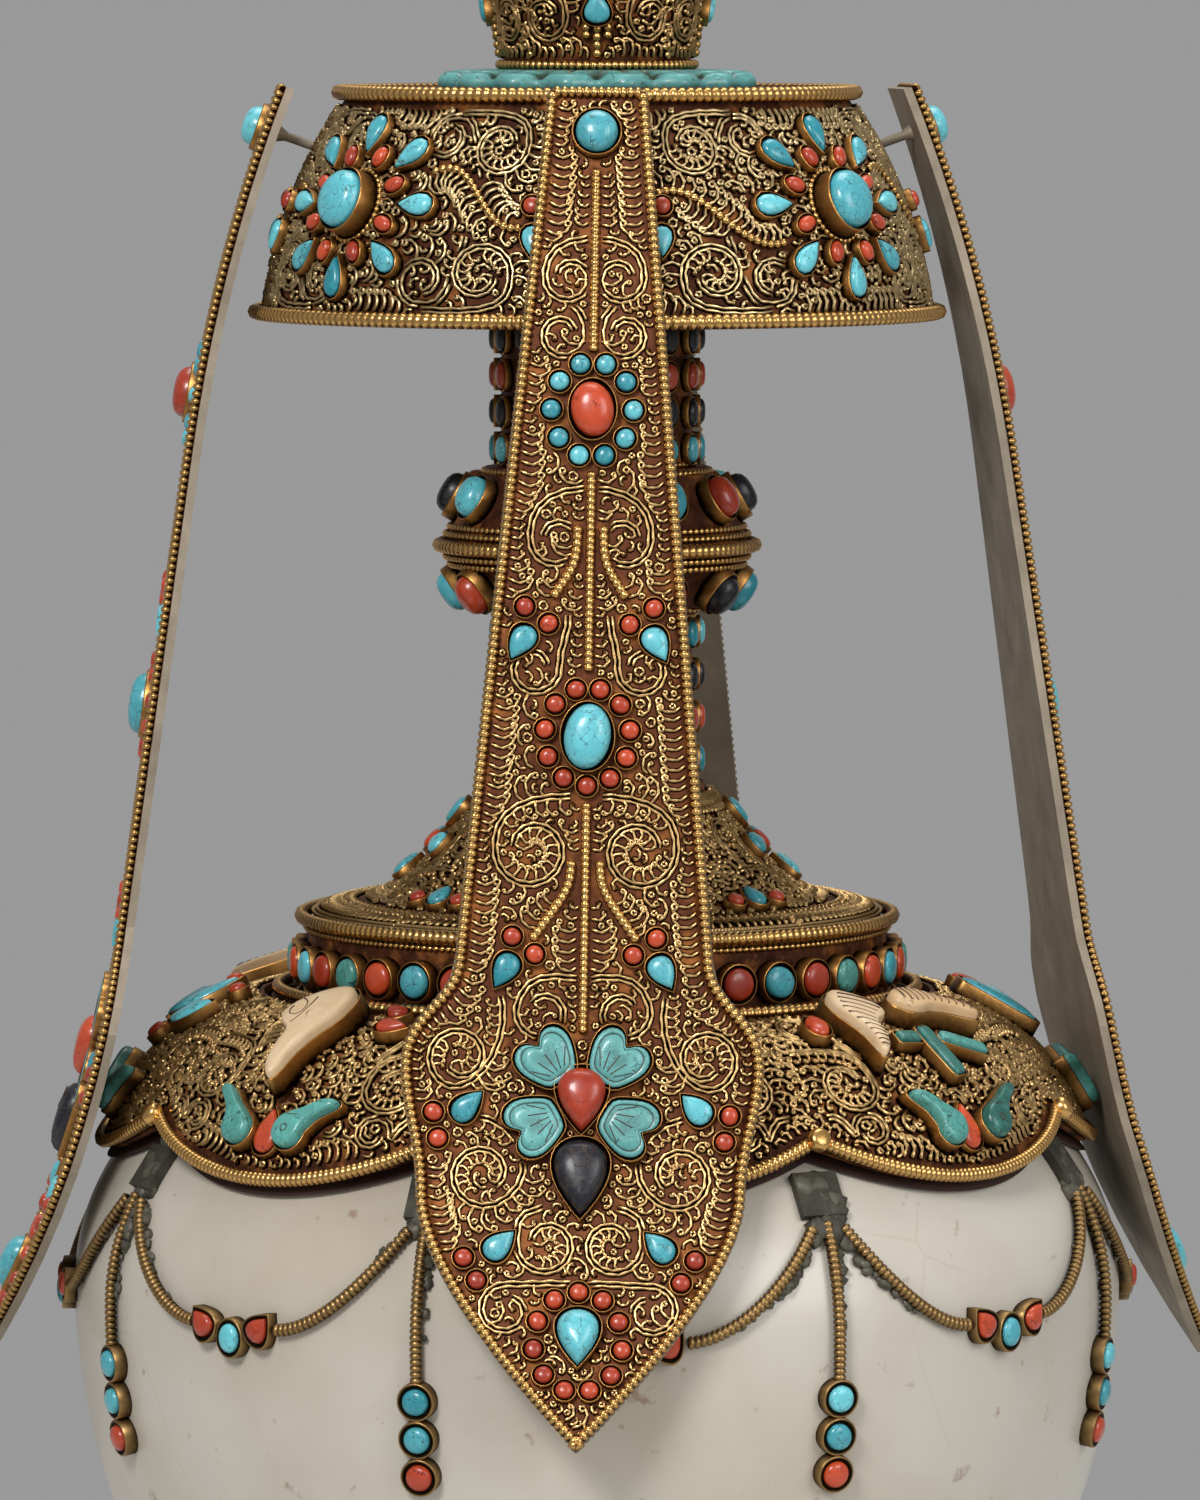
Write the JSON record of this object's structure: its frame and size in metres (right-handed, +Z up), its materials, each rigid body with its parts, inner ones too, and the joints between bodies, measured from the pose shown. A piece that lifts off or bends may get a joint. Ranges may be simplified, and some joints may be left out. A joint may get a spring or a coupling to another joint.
{
  "type": "ritual vase",
  "caption": "Tibetan bumpa vase: white stone belly in gem-set gilt filigree mounts, drum canopy on the neck, blade-shaped straps hung on pegs, lift-out stopper.",
  "frame": {"origin": "middle of the foot's underside, on the table", "axes": "+Z up along the vase, the front strap hangs on the -Y side"},
  "size_m": [0.2132, 0.2139, 0.3988],
  "materials": {
    "gilt": "worn gilding on copper filigree",
    "belly_stone": "polished white stone, faint stains",
    "turquoise": "polished with dark matrix",
    "coral": "polished",
    "lapis": "polished",
    "shell": "carved, satin",
    "resin": "dark red-brown resin",
    "solder": "dull grey solder"
  },
  "bodies": {
    "vase": {"foot": "gilt", "foot_plate": "gilt", "foot_rims": "gilt", "belly": "belly_stone", "belly_cup": "gilt", "shoulder_cap": "gilt", "shoulder_bed": "resin", "shoulder_rim": "gilt", "garland_tabs": "solder", "garland_wires": "gilt", "garland_turquoise": "turquoise", "garland_coral": "coral", "collar": "gilt", "neck_dome": "gilt", "neck_rims": "gilt", "neck_tube": "gilt", "neck_sleeves": "gilt", "knop": "gilt", "canopy_floor": "gilt", "canopy_wall": "gilt", "canopy_top": "gilt", "canopy_rims": "gilt", "lotus_ring": "turquoise", "mouth_cup": "gilt", "shoulder_settings": "gilt", "shoulder_turquoise": "turquoise", "shoulder_coral": "coral", "shoulder_shell": "shell", "collar_settings": "gilt", "collar_turquoise": "turquoise", "collar_coral": "coral", "neck_settings": "gilt", "neck_turquoise": "turquoise", "neck_coral": "coral", "neck_lapis": "lapis", "canopy_settings": "gilt", "canopy_turquoise": "turquoise", "canopy_coral": "coral"},
    "front_strap_body": {"front_strap": "gilt", "front_strap_trim": "gilt", "front_strap_turquoise": "turquoise", "front_strap_coral": "coral", "front_strap_lapis": "lapis"},
    "right_strap_body": {"right_strap": "gilt", "right_strap_trim": "gilt", "right_strap_turquoise": "turquoise", "right_strap_coral": "coral", "right_strap_lapis": "lapis"},
    "back_strap_body": {"back_strap": "gilt", "back_strap_trim": "gilt", "back_strap_turquoise": "turquoise", "back_strap_coral": "coral", "back_strap_lapis": "lapis"},
    "left_strap_body": {"left_strap": "gilt", "left_strap_trim": "gilt", "left_strap_turquoise": "turquoise", "left_strap_coral": "coral", "left_strap_lapis": "lapis"},
    "stopper_body": {"stopper": "gilt", "stopper_jewel": "coral"}
  },
  "joints": [
    {"name": "front_strap_swing", "type": "hinge", "parent": "vase", "child": "front_strap_body", "pos_m": [0, -0.05461, 0.31188], "axis": [0, -0.9427, 0.3335], "range_deg": [-12, 12]},
    {"name": "right_strap_swing", "type": "hinge", "parent": "vase", "child": "right_strap_body", "pos_m": [0.05408, 0.0076, 0.31188], "axis": [0.9336, 0.1312, 0.3335], "range_deg": [-12, 12]},
    {"name": "back_strap_swing", "type": "hinge", "parent": "vase", "child": "back_strap_body", "pos_m": [0.00381, 0.05448, 0.31188], "axis": [0.0658, 0.9405, 0.3335], "range_deg": [-12, 12]},
    {"name": "left_strap_swing", "type": "hinge", "parent": "vase", "child": "left_strap_body", "pos_m": [-0.05458, -0.00191, 0.31188], "axis": [-0.9422, -0.0329, 0.3335], "range_deg": [-12, 12]},
    {"name": "stopper_lift", "type": "slide", "parent": "vase", "child": "stopper_body", "axis": [0, 0, 1], "range_m": [0, 0.06]}
  ]
}
